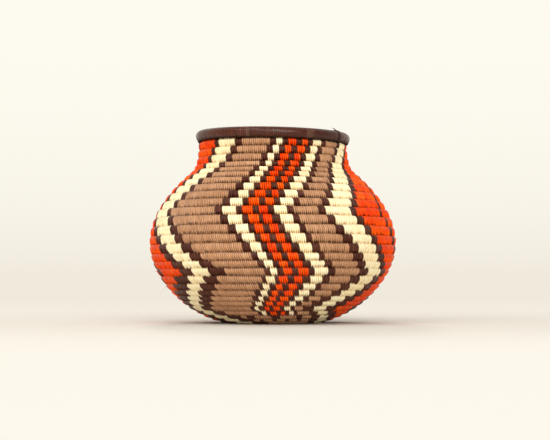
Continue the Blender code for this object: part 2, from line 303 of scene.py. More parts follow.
class Profile:
    """Middle line of the wall as (radius, height), measured by length from the floor's middle."""

    def __init__(self):
        floor_height = HALF_WALL - FOOT_CUT
        floor = np.array((FLOOR_DIAMETER / 2, floor_height))
        belly = np.array((BELLY_DIAMETER / 2 - HALF_WALL, BELLY_HEIGHT))
        slope = np.array((-math.cos(SHOULDER_SLOPE), math.sin(SHOULDER_SLOPE)))
        outward = np.array((slope[1], -slope[0]))
        corner = np.array((SHOULDER_DIAMETER / 2, SHOULDER_HEIGHT)) - outward * HALF_WALL
        neck = np.array((NECK_DIAMETER / 2 - HALF_WALL, SHOULDER_HEIGHT + NECK_RISE))
        across = np.array((1.0, 0.0))
        up = np.array((0.0, 1.0))
        bowl_span = belly - floor
        shoulder_span = np.linalg.norm(corner - belly)
        neck_span = np.linalg.norm(neck - corner)
        bowl = bezier(
            floor,
            floor + across * BOWL_FULLNESS * bowl_span[0],
            belly - up * BOWL_FULLNESS * bowl_span[1],
            belly,
        )
        shoulder = bezier(
            belly,
            belly + up * BELLY_FULLNESS * (corner[1] - belly[1]),
            corner - slope * SHOULDER_FULLNESS * shoulder_span,
            corner,
        )
        throat = bezier(
            corner,
            corner + slope * CORNER_FULLNESS * neck_span,
            neck - up * NECK_FULLNESS * (neck[1] - corner[1]),
            neck,
        )
        middle = np.array((0.0, floor_height))
        above = neck + up * RIM_THICKNESS
        self.points = np.vstack(([middle], bowl, shoulder, throat, [neck, above]))
        steps = np.linalg.norm(np.diff(self.points, axis=0), axis=1)
        self.lengths = np.concatenate(([0.0], np.cumsum(steps)))
        self.directions = np.gradient(self.points, self.lengths, axis=0)
        self.directions /= np.linalg.norm(self.directions, axis=1)[:, None]
        self.directions[:2] = across
        self.belly = self.lengths[1 + CURVE_SAMPLES]
        self.shoulder = self.lengths[1 + CURVE_SAMPLES + 2 * CURVE_SAMPLES // 3]
        self.top = self.lengths[-2]

    def at(self, lengths, outward_shift):
        """Radius and height at lengths along the wall, moved outwards from its middle line."""
        radius = np.interp(lengths, self.lengths, self.points[:, 0])
        height = np.interp(lengths, self.lengths, self.points[:, 1])
        along_r = np.interp(lengths, self.lengths, self.directions[:, 0])
        along_z = np.interp(lengths, self.lengths, self.directions[:, 1])
        size = np.hypot(along_r, along_z)
        return radius + outward_shift * along_z / size, height - outward_shift * along_r / size


PROFILE = Profile()


def row_levels():
    """Lengths along the profile where one row ends and the next begins."""
    ends = np.cumsum((0.0,) + ROW_HEIGHTS)
    return START_RADIUS + (PROFILE.top - START_RADIUS) * ends / ends[-1]


LEVELS = row_levels()
ROW_COUNT = len(LEVELS) - 1
TURN = 2 * math.pi
COIL_START = -1


def climb(angles):
    """How far a row has risen towards the next one, from 0 to 1, at angles round its turn."""
    share = np.clip((angles - (TURN - CLIMB_ANGLE)) / CLIMB_ANGLE, 0.0, 1.0)
    return share * share * (3 - 2 * share)


def sag(level, angles):
    """How far the edge above a level strays from even, the same for the rows on both sides."""
    if level >= ROW_COUNT:
        return np.zeros_like(angles)
    waves = np.random.default_rng(SEED + SAG_SEED + level)
    total = np.zeros_like(angles)
    for cycles in SAG_CYCLES:
        strength, start = waves.uniform((-1, 0), (1, TURN))
        total = total + strength * np.sin(cycles * angles + start)
    return ROW_SAG * total * np.sin(angles / 2) ** 2


def edge_lengths(level, angles):
    """Lengths along the profile of the edge above a level, at angles round the turn."""
    if level >= ROW_COUNT:
        top_radius, _ = PROFILE.at(PROFILE.top, 0.0)
        return PROFILE.top + top_radius * np.sin(angles) * math.tan(RIM_TILT)
    if level + 1 == ROW_COUNT:
        above = edge_lengths(level + 1, angles)
    else:
        above = LEVELS[level + 1]
    return LEVELS[level] + sag(level, angles) + (above - LEVELS[level]) * climb(angles)


def row_edges(row, angles):
    """Lower and upper edge of a row at angles round its turn."""
    if row == COIL_START:
        return np.full_like(angles, START_HOLE), edge_lengths(0, angles)
    low = edge_lengths(row, angles)
    high = edge_lengths(row + 1, angles)
    return low, np.minimum(high, edge_lengths(ROW_COUNT, angles))


def round_the_jar(lengths, distances, angles):
    """Points of the wall from lengths along it, distances outwards and angles."""
    radius, height = PROFILE.at(lengths, distances)
    return np.stack((-radius * np.sin(angles), radius * np.cos(angles), height), axis=-1)


def band_starts(row_from_rim, half_turn):
    """Where each band begins on a row, in stitches from the front, over half a turn."""
    starts = []
    for line, bands, turned, field_after in (
        (CHECK_LINE, CHECK_BANDS, 0.0, "tan"),
        (RIGHT_LINE, RIGHT_BANDS, 0.0, "orange"),
        (EDGE_LINE, EDGE_BANDS, 0.0, "orange"),
        (LEFT_LINE, LEFT_BANDS, half_turn, "tan"),
    ):
        if bands is CHECK_BANDS and row_from_rim > LAST_CHECK_ROW + 0.5:
            continue
        widths = [(strand, float(np.interp(row_from_rim, WIDTH_ROWS, w))) for strand, w in bands]
        degrees = float(np.interp(row_from_rim, TURN_ROWS, line))
        middle = degrees / STRAIGHT_ANGLE * half_turn + turned
        start = middle - sum(width for _, width in widths) / 2
        for strand, width in widths:
            starts.append((start, strand))
            start += width
        starts.append((start, field_after))
    return starts


def strand_at(row_from_rim, angle, half_turn):
    """Name of the strand of the stitch at an angle on a row, by the zigzag pattern."""
    if row_from_rim > LAST_PATTERN_ROW + 0.5:
        return "tan"
    starts = band_starts(row_from_rim, half_turn)
    places = [place for place, _ in starts]
    from_front = (angle - math.pi) / math.pi * half_turn
    place = (from_front - places[0]) % half_turn + places[0]
    strand = starts[bisect.bisect_right(places, place) - 1][1]
    dotted_row = round(row_from_rim)
    if strand == "tan" and dotted_row in DOT_SPACING:
        if from_front % DOT_SPACING[dotted_row] < DOT_WIDTH[dotted_row]:
            return "dark"
    return strand


def row_strands(row, angles, half_turn):
    """Indices of the strands of the stitches at these angles on a row."""
    rises = climb(angles)
    names = [
        strand_at(ROW_COUNT - row - rise, angle, half_turn) for angle, rise in zip(angles, rises)
    ]
    return np.array([STRAND_NAMES.index(name) for name in names])


class MeshParts:
    """Points and faces gathered for one mesh, with its maps, materials and shading values."""

    def __init__(self):
        self.points = []
        self.groove_shades = []
        self.faces = []
        self.strand_map = []
        self.bake_map = []
        self.materials = []
        self.tones = []
        self.count = 0

    def add_points(self, points, groove_shades):
        """Keep points, with how much painted shade each gets in a groove, and return the first
        one's index.
        """
        first = self.count
        self.points.append(np.asarray(points, np.float32).reshape(-1, 3))
        self.count += len(self.points[-1])
        groove_shades = np.broadcast_to(np.asarray(groove_shades, np.float32), points.shape[:-1])
        self.groove_shades.append(groove_shades.ravel())
        return first

    def add_faces(self, faces, strand_map, bake_map, materials, tones):
        """Keep faces with the same number of corners, with two map places for each corner."""
        self.faces.append(np.asarray(faces, np.int32))
        self.strand_map.append(np.asarray(strand_map, np.float32).reshape(-1, 2))
        self.bake_map.append(np.asarray(bake_map, np.float32).reshape(-1, 2))
        self.materials.append(np.broadcast_to(np.asarray(materials, np.int32), len(faces)))
        self.tones.append(np.broadcast_to(np.asarray(tones, np.float32), len(faces)))

    def build(self, name, materials):
        """Make the object from what was gathered."""
        mesh = bpy.data.meshes.new(name)
        points = np.concatenate(self.points)
        corners = np.concatenate([faces.ravel() for faces in self.faces])
        sizes = np.concatenate([np.full(len(faces), faces.shape[1]) for faces in self.faces])
        mesh.vertices.add(len(points))
        mesh.vertices.foreach_set("co", points.ravel())
        mesh.loops.add(len(corners))
        mesh.loops.foreach_set("vertex_index", corners)
        mesh.polygons.add(len(sizes))
        starts = np.concatenate(([0], np.cumsum(sizes)[:-1])).astype(np.int32)
        mesh.polygons.foreach_set("loop_start", starts)
        mesh.update(calc_edges=True)
        for layer_name, places in (("StrandMap", self.strand_map), ("OFBake", self.bake_map)):
            layer = mesh.uv_layers.new(name=layer_name)
            layer.data.foreach_set("uv", np.concatenate(places).ravel())
        tone = mesh.attributes.new("tone", "FLOAT", "FACE")
        tone.data.foreach_set("value", np.concatenate(self.tones))
        groove_shade = mesh.attributes.new("groove_shade", "FLOAT", "POINT")
        groove_shade.data.foreach_set("value", np.concatenate(self.groove_shades))
        for material in materials:
            mesh.materials.append(material)
        mesh.polygons.foreach_set("material_index", np.concatenate(self.materials))
        mesh.shade_smooth()
        mesh.set_sharp_from_angle(angle=SHARP_CREASE)
        piece = bpy.data.objects.new(name, mesh)
        bpy.context.scene.collection.objects.link(piece)
        return piece


def tube_faces(parts, first, shape, strand_u, strand_v, looks, bake_band, inside=False):
    """Quads round a tube whose points lie in sections, folded into lines of the bake map."""
    stations, points = shape
    lines, band_low, band_high = bake_band
    j, i = np.meshgrid(np.arange(stations - 1), np.arange(points), indexing="ij")
    corner_j = np.stack((j, j + 1, j + 1, j), -1)
    corner_i = np.stack((i, i, i + 1, i + 1), -1)
    faces = first + corner_j * points + corner_i % points
    strand = np.stack((strand_u[corner_j], strand_v[corner_i]), -1)
    per_line = math.ceil((stations - 1) / lines)
    line = j[..., None] // per_line
    along = (corner_j - line * per_line) / per_line
    across = BAKE_MARGIN + (1 - 2 * BAKE_MARGIN) * strand_v[corner_i] / strand_v[-1]
    upward = band_low + (band_high - band_low) * (line + across) / lines
    places = np.stack((along, upward), -1)
    if inside:
        faces = faces[..., ::-1]
        strand = strand[:, :, ::-1]
        places = places[:, :, ::-1]
    materials, tones = looks
    parts.add_faces(
        faces.reshape(-1, 4), strand, places, np.repeat(materials, points), np.repeat(tones, points)
    )


def end_cap(parts, outer, bore, flip):
    """Close the end of a sleeve between its outer loop and its bore, or all over without one."""
    if bore is None:
        faces = np.array([outer])
    else:
        triangles = []
        per_bore = len(outer) // len(bore)
        for i in range(len(outer)):
            after = (i + 1) % len(outer)
            near = i // per_bore
            triangles.append((outer[i], outer[after], bore[near]))
            if after // per_bore != near:
                triangles.append((outer[after], bore[after // per_bore], bore[near]))
        faces = np.array(triangles)
    if flip:
        faces = faces[:, ::-1]
    corners = faces.size
    parts.add_faces(faces, np.zeros((corners, 2)), np.full((corners, 2), CAP_PLACE), 0, PLAIN_TONE)


def walk_round(loop):
    """Lengths along a closed loop of points, in millimetres, ending with its whole length."""
    steps = np.linalg.norm(np.diff(loop, axis=0, append=loop[:1]), axis=1)
    return np.concatenate(([0.0], np.cumsum(steps))) * MILLIMETRES


def loose_end(parts, path, thickness, strand):
    """A loose end of a strand, which tapers along its path."""
    along = np.gradient(path, axis=0)
    along /= np.linalg.norm(along, axis=1)[:, None]
    side = np.cross(along, LOOSE_ASIDE)
    side /= np.linalg.norm(side, axis=1)[:, None]
    over = np.cross(along, side)
    turns = TURN * np.arange(LOOSE_SIDES)[None, :, None] / LOOSE_SIDES
    radii = thickness / 2 * np.linspace(1.0, LOOSE_TAPER, len(path))[:, None, None]
    ring = side[:, None] * np.cos(turns) - over[:, None] * np.sin(turns)
    first = parts.add_points(path[:, None] + radii * ring, 0.0)
    steps = len(path) - 1
    tube_faces(
        parts, first, (len(path), LOOSE_SIDES), np.full(len(path), 0.5),
        np.arange(LOOSE_SIDES + 1.0),
        (np.full(steps, strand), np.full(steps, LOOSE_TONE)), (1, *LOOSE_BAND),
    )
    loop = first + np.arange(LOOSE_SIDES)
    end_cap(parts, loop, None, False)
    end_cap(parts, loop + steps * LOOSE_SIDES, None, True)


def sleeve(name, points, groove_shades, bore, looks, materials, ends=()):
    """A sewn or wrapped sleeve from its sections, with its hollow where a bore is given."""
    parts = MeshParts()
    for end in ends:
        loose_end(parts, *end)
    stitches, tones = looks
    stations, around = points.shape[:2]
    start = parts.add_points(points, groove_shades)
    each = len(STRAND_PLACES)
    strand_u = np.append((np.arange(len(stitches))[:, None] + STRAND_PLACES).ravel(), len(stitches))
    middle_loop = points[stations // 2]
    tube_faces(
        parts, start, (stations, around), strand_u, walk_round(middle_loop),
        (np.repeat(stitches, each), np.repeat(tones, each)), (BAKE_LINES, *OUTSIDE_BAND),
    )
    first_bore = last_bore = None
    if bore is not None:
        steps, bore_points = bore.shape[:2]
        # The hollow inside takes the full painted shade
        bore_start = parts.add_points(bore, 1.0)
        tube_faces(
            parts, bore_start, (steps, bore_points), np.linspace(0, len(stitches), steps),
            np.arange(bore_points + 1.0),
            (np.zeros(steps - 1, int), np.full(steps - 1, PLAIN_TONE)),
            (1, *BORE_BAND), inside=True,
        )
        first_bore = bore_start + np.arange(bore_points)
        last_bore = first_bore + (steps - 1) * bore_points
    first_loop = start + np.arange(around)
    last_loop = first_loop + (stations - 1) * around
    end_cap(parts, first_loop, first_bore, False)
    end_cap(parts, last_loop, last_bore, True)
    return parts.build(name, materials)


class Strands:
    """The strands side by side along one piece: where each lies and how it differs."""

    def __init__(self, seed, first, last, radius, width):
        self.random = np.random.default_rng(SEED + seed)
        self.count = max(FEWEST_STRANDS, round((last - first) * radius / width))
        self.first = first
        self.last = last
        jitter = self.random.uniform(-SEAM_JITTER, SEAM_JITTER, self.count + 1)
        seams = np.arange(self.count + 1) + jitter
        seams[0] = 0
        seams[-1] = self.count
        places = (seams[:-1, None] + np.diff(seams)[:, None] * STRAND_PLACES).ravel()
        self.angles = self.angle_at(np.append(places, self.count))
        roundness = self.random.uniform(*ROUNDNESS_RANGE, self.count)
        self.roundness = self.spread(roundness, STRAND_ROUNDNESS)
        creases = self.random.uniform(0, SHALLOWEST_CREASE, self.count + 1)
        self.roundness[:: len(STRAND_PLACES)] = creases
        self.tip = self.spread(self.random.uniform(*TIP_RANGE, self.count), STRAND_TIP)

    def angle_at(self, places):
        """Angles of places counted in strands."""
        return self.first + (self.last - self.first) * places / self.count

    def middles(self):
        """Angles of the middles of the strands."""
        return self.angle_at(np.arange(self.count) + 0.5)

    def spread(self, values, across):
        """A value of each strand spread over its stations, with nothing at the last seam."""
        return np.append(np.outer(values, across).ravel(), 0.0)

    def lean_jitter(self):
        """Difference of each strand's lean from the row's, none at the ends."""
        jitter = self.random.uniform(-LEAN_JITTER, LEAN_JITTER, self.count)
        jitter = np.append(np.repeat(jitter, len(STRAND_PLACES)), 0.0)
        jitter[0] = 0.0
        return jitter

    def tones(self, stitches):
        """Lightness of each strand from 0 to 1, alike within one run of the same strand."""
        runs = np.concatenate(([0], np.cumsum(np.diff(stitches) != 0)))
        run_tones = self.random.uniform(0, 1, runs[-1] + 1)
        return 0.5 * run_tones[runs] + 0.5 * self.random.uniform(0, 1, self.count)


def row_section(low, high, strands):
    """Loops round a row at every station: lengths along the wall, distances out, and painted shade
    in the grooves.
    """
    middle = (low + high) / 2
    fullness = np.clip((high - low) / FULL_ROW_HEIGHT, LEAST_FULLNESS, 1.0)
    edge = GROOVE_EDGE * np.sqrt(fullness)
    crest = edge + (HALF_WALL - GROOVE_EDGE) * fullness + RIDGE_HEIGHT * (strands.roundness - 0.5)
    reach = np.minimum(TONGUE_LENGTH * strands.tip * fullness, LONGEST_REACH * low)
    low_face = edge + (TONGUE_FACE - GROOVE_EDGE) * strands.tip * fullness

    # Painted shade in the grooves: strand tips reaching over the next row get less of it, where
    # they stand out into the light, and it spreads wider at the seams
    in_strand = np.clip(strands.tip, 0, 1)[:, None]
    bright_tip = in_strand * TIP_BRIGHTNESS
    shade = SEAM_SHADE + (MIDDLE_SHADE - SEAM_SHADE) * in_strand

    def side(count, reach):
        share = 0.5 - 0.5 * np.cos(np.pi * np.linspace(0, 1, count))[None, :]
        start = (low - reach)[:, None]
        length = start + (high[:, None] - start) * share
        below = np.clip((middle[:, None] - length) / (middle[:, None] - start), 0, 1)
        above = np.clip((length - middle[:, None]) / (high - middle)[:, None], 0, 1)
        distance = crest[:, None] - (crest - low_face)[:, None] * below ** GROOVE_SHARPNESS
        distance = distance - (crest - edge)[:, None] * above ** GROOVE_SHARPNESS
        groove_shade = below ** shade * (1 - bright_tip)
        groove_shade = groove_shade + above ** shade * (1 - bright_tip * UPPER_TIP_SHARE)
        return length, distance, groove_shade

    outer_length, outer_distance, outer_groove_shade = side(OUTER_POINTS, reach)
    inner_length, inner_distance, inner_groove_shade = side(INNER_POINTS, reach * INNER_TONGUE_SHARE)
    under = edge * UNDERSIDE_SHARE
    crown = np.zeros_like(high)
    # The crown and the bottom of the section, hidden between rows, take the full painted shade
    deep = np.ones_like(high)
    lengths = np.column_stack((outer_length, high, inner_length[:, ::-1], low, low))
    distances = np.column_stack((outer_distance, crown, -inner_distance[:, ::-1], -under, under))
    groove_shades = np.column_stack((outer_groove_shade, deep, inner_groove_shade[:, ::-1], deep, deep))
    return lengths, distances, groove_shades


def section_turns(count):
    """Directions round a section that match the points of a row's section, a third as many."""
    return TURN * (np.arange(count) + 2 / 3) / count


def oval_tube(row, angles, turns, half_thickness, inset, lobes=1.0):
    """Sections of an oval tube inside a row."""
    low, high = row_edges(row, angles)
    middle = ((low + high) / 2)[:, None]
    half_height = ((high - low) / 2 - inset)[:, None]
    lengths = middle - half_height * np.cos(turns) * lobes
    distances = half_thickness * np.sin(turns) * lobes
    return round_the_jar(lengths, distances, angles[:, None])


def sewn_row(name, row, first, last, hollow, materials):
    """The sewn strands of one row between two angles, over a hollow for the bundle."""
    length = START_RADIUS if row == COIL_START else (LEVELS[row] + LEVELS[row + 1]) / 2
    radius, _ = PROFILE.at(length, HALF_WALL)
    strands = Strands(row, first, last, float(radius), STITCH_WIDTH)
    low, high = row_edges(row, strands.angles)
    lengths, distances, groove_shades = row_section(low, high, strands)
    middle = (low + high) / 2
    if row == COIL_START:
        turned = strands.angles[:, None]
    else:
        places = (PROFILE.belly, PROFILE.shoulder, PROFILE.top)
        lean = np.interp(middle, places, (LEAN_AT_BELLY, LEAN_ON_SHOULDER, LEAN_AT_NECK))
        slope = np.tan(lean + strands.lean_jitter()) / radius
        turned = strands.angles[:, None] - slope[:, None] * (lengths - middle[:, None])
    points = round_the_jar(lengths, distances, turned)
    points[..., 2] = np.maximum(points[..., 2], 0.0)
    bore = None
    if hollow:
        steps = max(2, round(BORE_STATIONS * (last - first) / TURN)) + 1
        angles = np.linspace(first, last, steps)
        turns = section_turns(BORE_POINTS)[None, :]
        bore = oval_tube(row, angles, turns, BORE_HALF_THICKNESS, BORE_INSET)
    stitches = row_strands(row, strands.middles(), strands.count * math.pi / (last - first))
    looks = (stitches, strands.tones(stitches))
    return sleeve(name, points, groove_shades, bore, looks, materials, row_ends(row))


def row_ends(row):
    """Paths, thickness and strands of the loose ends on a row."""
    ends = []
    share = np.linspace(0, 1, LOOSE_POINTS)
    for row_from_rim, strand, degrees, outward, upward, thickness in LOOSE_ENDS:
        if row_from_rim == ROW_COUNT - row:
            angle = math.pi + math.radians(degrees)
            root = (LEVELS[row] + LEVELS[row + 1]) / 2
            start = np.array(round_the_jar(root, HALF_WALL - LOOSE_ROOT, angle))
            run = (LOOSE_ROOT + outward) * share
            path = start + np.outer(run, (-math.sin(angle), math.cos(angle), 0.0))
            path[:, 2] += upward * share ** 2
            ends.append((path, thickness, STRAND_NAMES.index(strand)))
    return ends


def plain_tube(name, sections, materials, closed=False):
    """A bundle of stems from its sections, open-ended with caps or closed in a ring."""
    parts = MeshParts()
    if closed:
        sections = np.concatenate((sections, sections[:1]))
    stations, around = sections.shape[:2]
    start = parts.add_points(sections, 0.0)
    tube_faces(
        parts, start, (stations, around), np.arange(stations) * STEM_MAP_STEP,
        np.arange(around + 1) * (STEM_MAP_WIDTH * BUNDLE_STEMS / around),
        (np.zeros(stations - 1, int), np.full(stations - 1, PLAIN_TONE)),
        (BAKE_LINES, *OUTSIDE_BAND),
    )
    loop = start + np.arange(around)
    end_cap(parts, loop, None, False)
    end_cap(parts, loop + (stations - 1) * around, None, True)
    return parts.build(name, materials)


def stem_lobes(turns, angles):
    """Shares of the full size round a bundle, which dip between its stems."""
    wave = np.cos(BUNDLE_STEMS * turns + BUNDLE_TWIST * angles[:, None])
    return 1 - BUNDLE_STEM_DEPTH * (0.5 - 0.5 * wave)


def bundle(name, first_row, last_row, materials):
    """The bundle of stems inside a run of rows, unbroken from row to row."""
    turns = TURN * np.arange(SECTION_POINTS)[None, :] / SECTION_POINTS
    sections = []
    for row in range(first_row, last_row + 1):
        last = TURN - CLIMB_ANGLE if row == ROW_COUNT - 1 else TURN
        angles = np.linspace(0, last, BUNDLE_STATIONS + 1)
        if row > first_row:
            angles = angles[1:]
        lobes = stem_lobes(turns, angles)
        sections.append(
            oval_tube(row, angles, turns, BUNDLE_HALF_THICKNESS, BUNDLE_INSET, lobes)
        )
    return plain_tube(name, np.concatenate(sections), materials)


def rim_points(angles, radii, turns, drop=0.0):
    """Points round the rim's ring, which tilts a little to the right."""
    radius = RIM_RING_RADIUS + radii * np.cos(turns)
    height = RIM_RING_HEIGHT + radii * np.sin(turns) - drop
    x = -radius * np.sin(angles)
    y = radius * np.cos(angles)
    return np.stack((x, y, height - x * math.tan(RIM_TILT)), axis=-1)


def rim_wrap(node, seed, first, last, swell, materials):
    """The wrapped strands of one stretch of the rim, between two angles from the front."""
    outer_radius = RIM_RING_RADIUS + RIM_THICKNESS / 2
    strands = Strands(seed, math.pi + first, math.pi + last, outer_radius, RIM_WRAP_WIDTH)
    turns = -math.pi / 2 + TURN * np.arange(SECTION_POINTS)[None, :] / SECTION_POINTS
    ridges = RIM_RIDGE_HEIGHT * (strands.roundness[:, None] - RIM_RIDGE_LEVEL)
    radii = RIM_THICKNESS / 2 + swell + ridges
    slope = math.tan(RIM_LEAN) + np.tan(strands.lean_jitter()) * RIM_LEAN_JITTER_SHARE
    turned = strands.angles[:, None] - slope[:, None] * radii * np.sin(turns) / outer_radius
    near_wall = np.exp(-(((turns - RIM_TONGUE_TURN) / RIM_TONGUE_SPREAD) ** 2))
    drop = (RIM_COVER + RIM_TONGUE_DROP * strands.tip[:, None]) * near_wall
    points = rim_points(turned, radii, turns, drop)
    steps = max(2, round(BORE_STATIONS * (last - first) / TURN)) + 1
    angles = np.linspace(math.pi + first, math.pi + last, steps)[:, None]
    bore_turns = -math.pi / 2 + TURN * (np.arange(BORE_POINTS) + 1 / 3)[None, :] / BORE_POINTS
    bore = rim_points(angles, RIM_BORE_RADIUS, bore_turns)
    reach = SPLICE_REACH * RIM_WRAP_WIDTH / outer_radius
    near_splice = [
        any(abs(angle - math.pi - place) < reach for place in RIM_SPLICE_ANGLES)
        for angle in strands.middles()
    ]
    stitches = np.array(near_splice, int)
    tones = RIM_TONES[node] + strands.random.uniform(0, RIM_TONE_SPREAD, strands.count)
    ends = []
    if swell > 0:
        root = rim_points(math.pi + (first + last) / 2, RIM_THICKNESS / 2, TIE_END_TURN)
        ends.append((root + np.array(TIE_END), TIE_END_THICKNESS, 0))
    # Painted shade on the rim's underside, where its strands dip towards the wall
    groove_shades = near_wall * RIM_UNDERSIDE_SHADE
    return sleeve(f"wraps_{node}", points, groove_shades, bore, (stitches, tones), materials, ends)


def rim_stems(name, materials):
    """The thicker bundle inside the rim, a closed ring."""
    angles = np.linspace(0, TURN, 2 * BUNDLE_STATIONS, endpoint=False)
    turns = TURN * np.arange(SECTION_POINTS)[None, :] / SECTION_POINTS
    lobes = stem_lobes(turns, angles)
    sections = rim_points(angles[:, None], RIM_BUNDLE_RADIUS * lobes, turns)
    return plain_tube(name, sections, materials, closed=True)


def daylight(colour):
    """A colour as it looks in daylight, turned into the values that a shader takes."""
    knee, slope, offset, power = 0.04045, 12.92, 0.055, 2.4
    values = [c / slope if c <= knee else ((c + offset) / (1 + offset)) ** power for c in colour]
    return (*values, 1.0)


class Shader:
    """The nodes of a material or a world, added and linked one after the other."""

    def __init__(self, owner):
        self.owner = owner
        owner.use_nodes = True
        self.tree = owner.node_tree
        self.principled = self.tree.nodes.get("Principled BSDF")

    def node(self, kind, settings=None, **inputs):
        """Add a node, set its options, and set or link its inputs by name or number."""
        made = self.tree.nodes.new("ShaderNode" + kind)
        for key, value in (settings or {}).items():
            setattr(made, key, value)
        for key, value in inputs.items():
            socket = made.inputs[int(key[1:])] if key[0] == "_" else made.inputs[key]
            self.feed(socket, value)
        return made

    def feed(self, socket, value):
        """Link a socket to a node's output, or set its value."""
        if isinstance(value, bpy.types.NodeSocket):
            self.tree.links.new(value, socket)
        else:
            socket.default_value = value

    def math(self, operation, first, second=0.0):
        """Result of a sum on two values."""
        return self.node("Math", {"operation": operation}, _0=first, _1=second).outputs[0]

    def spread(self, value, low, high, to_low=0.0, to_high=1.0):
        """A value moved from one range to another, kept inside it."""
        made = self.node(
            "MapRange", {"clamp": True}, _0=value, _1=low, _2=high, _3=to_low, _4=to_high
        )
        return made.outputs[0]

    def mix(self, share, first, second):
        """Two colours mixed."""
        made = self.node("Mix", {"data_type": "RGBA"}, _0=share, _6=first, _7=second)
        return made.outputs[2]


def strand_material(name, colours, roughness, glint, faintest_crease=FAINTEST_OTHER_CREASE):
    """Leaf strand: fibres, stains and uneven tone, a painted highlight along its middle, and
    painted shade in its creases and grooves.
    """
    deep, plain, light, painted_shade = (daylight(colour) for colour in colours)
    shader = Shader(bpy.data.materials.new(name))
    strand_map = shader.node("UVMap", {"uv_map": "StrandMap"}).outputs[0]
    place = shader.node("SeparateXYZ", None, Vector=strand_map)
    across, along = place.outputs[0], place.outputs[1]
    stretched = shader.node(
        "CombineXYZ", None,
        X=shader.math("MULTIPLY", across, FIBRES_ACROSS),
        Y=shader.math("MULTIPLY", along, FIBRES_ALONG),
    )
    fibres = shader.node(
        "TexNoise", {"noise_dimensions": "2D"}, Vector=stretched.outputs[0], Scale=1.0, Detail=2.0
    ).outputs[0]
    where = shader.node("TexCoord").outputs["Object"]
    stains = shader.node("TexNoise", None, Vector=where, Scale=STAIN_SCALE, Detail=3.0).outputs[0]
    tone = shader.node("Attribute", {"attribute_name": "tone"}).outputs["Fac"]
    groove_shade = shader.node("Attribute", {"attribute_name": "groove_shade"}).outputs["Fac"]

    to_crease = shader.math("PINGPONG", across, 0.5)
    # Lightness from random tone, fibres and stains, with a painted highlight along the middle of
    # each strand that darkens towards its creases
    lightness = 0.0
    for part, share in (
        (tone, TONE_SHARE),
        (shader.spread(fibres, *FIBRE_RANGE), FIBRE_SHARE),
        (shader.spread(stains, *STAIN_RANGE), STAIN_SHARE),
        (shader.spread(to_crease, *RIDGE_HIGHLIGHT_RANGE), RIDGE_HIGHLIGHT_SHARE),
    ):
        lightness = shader.math("ADD", shader.math("MULTIPLY", part, share), lightness)
    lower = shader.mix(shader.spread(lightness, *DEEP_TO_PLAIN), deep, plain)
    body = shader.mix(shader.spread(lightness, *PLAIN_TO_LIGHT), lower, light)
    # Painted shade in the creases between strands and in the grooves between rows, in the last
    # colour
    crease_number = shader.math("ROUND", across)
    unlike = shader.node("TexWhiteNoise", {"noise_dimensions": "1D"}, W=crease_number).outputs[0]
    crease_depth = shader.spread(unlike, *CREASE_RANGE, faintest_crease, 1.0)
    near_crease = shader.spread(to_crease, *CREASE_EDGE, 1.0, 0.0)
    in_crease = shader.math("MULTIPLY", near_crease, crease_depth)
    in_groove_shade = shader.spread(groove_shade, *GROOVE_RANGE, 0.0, GROOVE_DARKNESS)
    darkness = shader.math("MAXIMUM", in_crease, in_groove_shade)
    colour = shader.mix(darkness, body, painted_shade)
    shader.feed(shader.principled.inputs["Base Color"], colour)
    strand_number = shader.math("FLOOR", across)
    polish = shader.node("TexWhiteNoise", {"noise_dimensions": "1D"}, W=strand_number).outputs[0]
    smoothest, roughest = (roughness + spread for spread in POLISH_SPREAD)
    strand_roughness = shader.spread(polish, 0.0, 1.0, smoothest, roughest)
    fibre_roughness = shader.spread(fibres, *FIBRE_RANGE, *FIBRE_ROUGHNESS)
    rough = shader.math("ADD", fibre_roughness, strand_roughness)
    shader.feed(shader.principled.inputs["Roughness"], rough)
    shader.principled.inputs["Specular IOR Level"].default_value = glint
    bump = shader.node("Bump", None, Strength=FIBRE_RELIEF, Distance=FIBRE_HEIGHT, Height=fibres)
    shader.feed(shader.principled.inputs["Normal"], bump.outputs[0])
    return shader.owner


def dress_coil(strands, stems):
    """Sew every row, from the start in the floor to the thinned end under the rim."""
    climb_start = TURN - CLIMB_ANGLE
    pieces = [("coil_start", COIL_START, 0.0, TURN, False, "sewn_floor")]
    for row in range(ROW_COUNT):
        last = climb_start if row == ROW_COUNT - 1 else TURN
        if row < FLOOR_ROWS:
            pieces.append((f"floor_row_{row + 1:02d}", row, 0.0, last, True, "sewn_floor"))
        else:
            node = f"wall_row_{row + 1 - FLOOR_ROWS:02d}"
            pieces.append((node, row, 0.0, last, True, "sewn_wall"))
    tail_end = climb_start + CLIMB_ANGLE * TAIL_LENGTH
    pieces.append(("coil_tail", ROW_COUNT - 1, climb_start, tail_end, False, "sewn_wall"))
    for node, row, first, last, hollow, slot in pieces:
        piece = sewn_row(f"strands_{node}", row, first, last, hollow, strands)
        place_piece(piece, node)
    join = max(1, ROW_COUNT - WALL_BUNDLE_LOOPS)
    for node, first, last in (("floor_bundle", 0, join - 1), ("wall_bundle", join, ROW_COUNT - 1)):
        place_piece(bundle(f"stems_{node}", first, last, stems), node)


def dress_rim(wraps, stems):
    """Wrap the rim in its three strands and the tie."""
    half_tie = RIM_TIE_WIDTH / NECK_DIAMETER
    right, left = RIM_SPLICE_ANGLES
    before = RIM_TIE_ANGLE - half_tie
    after = RIM_TIE_ANGLE + half_tie
    stretches = (
        ("rim_binding_1", right, before, 0.0),
        ("rim_binding_2", left, right, 0.0),
        ("rim_binding_3", after, left + TURN, 0.0),
        ("rim_tie", before, after, RIM_TIE_SWELL),
    )
    for seed, (node, first, last, swell) in enumerate(stretches, RIM_SEED):
        piece = rim_wrap(node, seed, first, last, swell, wraps)
        place_piece(piece, node)
    place_piece(rim_stems("stems_rim_bundle", stems), "rim_bundle")


def place_piece(piece, node):
    """Let a piece stand for a node of the frame, and hide the node's own part."""
    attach(piece, BODY)
    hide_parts(node)


